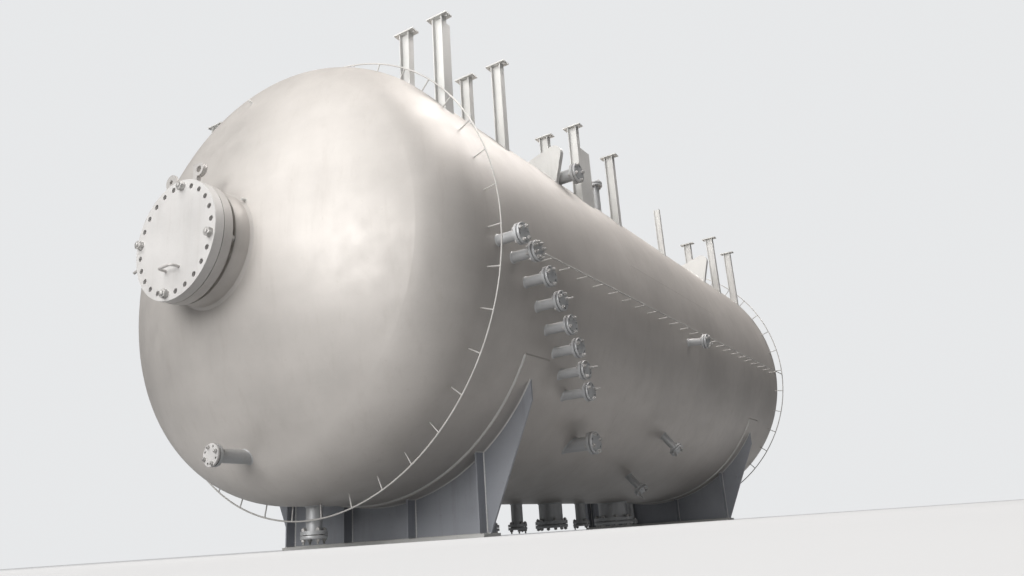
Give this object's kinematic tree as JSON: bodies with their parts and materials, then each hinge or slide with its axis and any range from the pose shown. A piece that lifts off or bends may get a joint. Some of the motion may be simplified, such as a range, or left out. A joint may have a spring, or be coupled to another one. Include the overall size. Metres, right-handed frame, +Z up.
{
  "type": "horizontal pressure tank",
  "caption": "Horizontal pressure tank with domed ends, a bolted manway, flanged branches, standoff rings, platform posts, lifting lugs and two saddles.",
  "frame": {"origin": "on the floor, midway between the two saddles and midway between the two sides", "axes": "X runs along the tank with the manway end at -X, -Y is the side with the row of level branches, Z is up"},
  "size_m": [10.2802, 4.1092, 4.225],
  "materials": {
    "tank_paint": "satin light grey paint",
    "flange_paint": "satin grey paint",
    "branch_paint": "satin grey paint",
    "standoff_paint": "satin pale grey paint",
    "bracket_paint": "satin pale grey paint",
    "saddle_paint": "satin blue-grey paint",
    "gasket": "dull"
  },
  "bodies": {
    "root": {"shell": "tank_paint", "front_head": "tank_paint", "rear_head": "tank_paint", "manway_neck": "tank_paint", "manway_flange": "flange_paint", "manway_gasket": "gasket", "manway_cover": "flange_paint", "manway_handle": "flange_paint", "manway_rim_lug": "flange_paint", "manway_arm_eye": "flange_paint", "front_ring": "standoff_paint", "rear_ring": "standoff_paint", "front_ring_clips": "standoff_paint", "rear_ring_clips": "standoff_paint", "near_side_bar": "standoff_paint", "far_side_bar": "standoff_paint", "near_bar_clips": "standoff_paint", "far_bar_clips": "standoff_paint", "level_branches": "branch_paint", "level_covers": "branch_paint", "level_studs": "branch_paint", "side_branches": "branch_paint", "side_covers": "branch_paint", "lower_branch": "branch_paint", "lower_cover": "branch_paint", "head_branch": "branch_paint", "head_branch_cover": "branch_paint", "bottom_branches": "branch_paint", "bottom_covers": "branch_paint", "middle_outlet": "branch_paint", "middle_cover": "branch_paint", "large_outlet": "branch_paint", "large_cover": "branch_paint", "joint_gaskets": "gasket", "near_posts": "bracket_paint", "far_posts": "bracket_paint", "post_caps": "bracket_paint", "lifting_lugs": "bracket_paint", "front_wear_plate": "saddle_paint", "front_web": "saddle_paint", "front_ribs": "saddle_paint", "front_base": "saddle_paint", "rear_wear_plate": "saddle_paint", "rear_web": "saddle_paint", "rear_ribs": "saddle_paint", "rear_base": "saddle_paint"}
  },
  "joints": []
}
